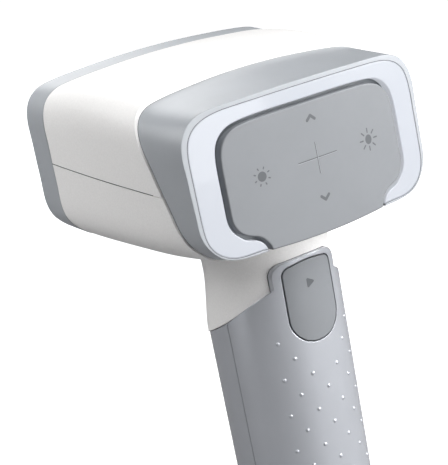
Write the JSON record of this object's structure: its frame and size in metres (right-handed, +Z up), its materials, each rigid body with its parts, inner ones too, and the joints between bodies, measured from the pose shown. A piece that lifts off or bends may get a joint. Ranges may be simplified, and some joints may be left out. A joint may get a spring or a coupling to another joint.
{
  "type": "handheld 3d scanner",
  "caption": "Handheld structured-light scanner: tapered head with camera front, lit rear control pad, and an oval grip with a scan button and cable socket.",
  "frame": {"origin": "centre of the handle's flat foot, on the handle axis", "axes": "+Z up the handle axis towards the head, +Y the way the cameras look, +X to the right of the person holding it"},
  "size_m": [0.1112, 0.0979, 0.2369],
  "materials": {
    "white_shell": "fine textured white",
    "grey_trim": "satin mid grey",
    "pale_ring": "light-guide plastic, pale blue white",
    "pad_grey": "smooth satin grey",
    "grip_silver": "satin silver grey",
    "black_gloss": "gloss black",
    "black_plastic": "matt black moulding",
    "lens_glass": "coated lens",
    "ir_window": "deep red filter",
    "diffuser": "opal diffuser",
    "aluminium": "machined",
    "anodised": "black anodised aluminium",
    "circuit_board": "solder mask green",
    "component_black": "epoxy package",
    "led": "phosphor",
    "steel": "plated steel",
    "nickel": "nickel-plated brass",
    "gold": "gold-plated contact"
  },
  "bodies": {
    "body": {"rear_collar": "grey_trim", "light_ring": "pale_ring", "ring_led_board": "circuit_board", "ring_leds": "led", "pad_carrier": "black_plastic", "carrier_screws": "steel", "key_board": "circuit_board", "pad_switches": "component_black", "key_board_posts": "aluminium", "head_upper_shell": "white_shell", "head_lower_shell": "white_shell", "front_bezel": "grey_trim", "front_panel": "black_gloss", "optical_bench": "aluminium", "bench_screws": "steel", "left_camera_barrel": "anodised", "left_camera_lens": "lens_glass", "left_sensor_board": "circuit_board", "left_sensor_housing": "anodised", "right_camera_barrel": "anodised", "right_camera_lens": "lens_glass", "right_sensor_board": "circuit_board", "right_sensor_housing": "anodised", "image_sensors": "component_black", "projector_barrel": "anodised", "projector_lens": "lens_glass", "projector_engine": "anodised", "projector_heat_sink": "aluminium", "texture_camera": "anodised", "texture_camera_lens": "lens_glass", "emitter_modules": "aluminium", "emitter_windows": "ir_window", "light_boards": "circuit_board", "fill_light_diffusers": "diffuser", "fill_leds": "led", "main_board": "circuit_board", "board_components": "component_black", "heat_spreader": "aluminium", "board_standoffs": "nickel", "board_screws": "steel", "handle_rear_shell": "grip_silver", "handle_front_shell": "grip_silver", "handle_screws": "steel", "handle_end_cap": "grip_silver", "cable_socket": "nickel", "socket_insert": "black_plastic", "socket_contacts": "gold", "handle_frame": "black_plastic", "button_board": "circuit_board", "scan_switch": "component_black"},
    "gimbal": {"pad_gimbal": "black_plastic", "pad_pins": "steel", "gimbal_pins": "steel"},
    "pad": {"control_pad": "pad_grey"},
    "plunger_up": {"pad_plunger_up": "black_plastic"},
    "plunger_down": {"pad_plunger_down": "black_plastic"},
    "plunger_right": {"pad_plunger_right": "black_plastic"},
    "plunger_left": {"pad_plunger_left": "black_plastic"},
    "button": {"scan_button": "pad_grey"},
    "switch_plunger": {"scan_switch_plunger": "black_plastic"}
  },
  "joints": [
    {"name": "pad_pitch", "type": "hinge", "parent": "body", "child": "gimbal", "pos_m": [0, -0.03567, 0.20098], "axis": [1, 0, 0], "range_deg": [-1.2, 1.2]},
    {"name": "pad_yaw", "type": "hinge", "parent": "gimbal", "child": "pad", "pos_m": [0, -0.03567, 0.20098], "axis": [0, 0.034, 0.9994], "range_deg": [-1.2, 1.2]},
    {"name": "plunger_up_travel", "type": "slide", "parent": "body", "child": "plunger_up", "axis": [0, 0.9994, -0.034], "range_m": [-0.0003, 0.0003]},
    {"name": "plunger_down_travel", "type": "slide", "parent": "body", "child": "plunger_down", "axis": [0, 0.9994, -0.034], "range_m": [-0.0003, 0.0003]},
    {"name": "plunger_right_travel", "type": "slide", "parent": "body", "child": "plunger_right", "axis": [0, 0.9994, -0.034], "range_m": [-0.0005, 0.0005]},
    {"name": "plunger_left_travel", "type": "slide", "parent": "body", "child": "plunger_left", "axis": [0, 0.9994, -0.034], "range_m": [-0.0005, 0.0005]},
    {"name": "scan_button_press", "type": "slide", "parent": "body", "child": "button", "axis": [0, 1, 0], "range_m": [0, 0.0008]},
    {"name": "switch_plunger_travel", "type": "slide", "parent": "body", "child": "switch_plunger", "axis": [0, 1, 0], "range_m": [0, 0.0008]}
  ],
  "couplings": [
    {"joint": "plunger_up_travel", "follows": "pad_pitch", "m_per_rad": -0.01365},
    {"joint": "plunger_down_travel", "follows": "pad_pitch", "m_per_rad": 0.01365},
    {"joint": "plunger_right_travel", "follows": "pad_yaw", "m_per_rad": 0.0224},
    {"joint": "plunger_left_travel", "follows": "pad_yaw", "m_per_rad": -0.0224},
    {"joint": "switch_plunger_travel", "follows": "scan_button_press", "ratio": 1}
  ]
}
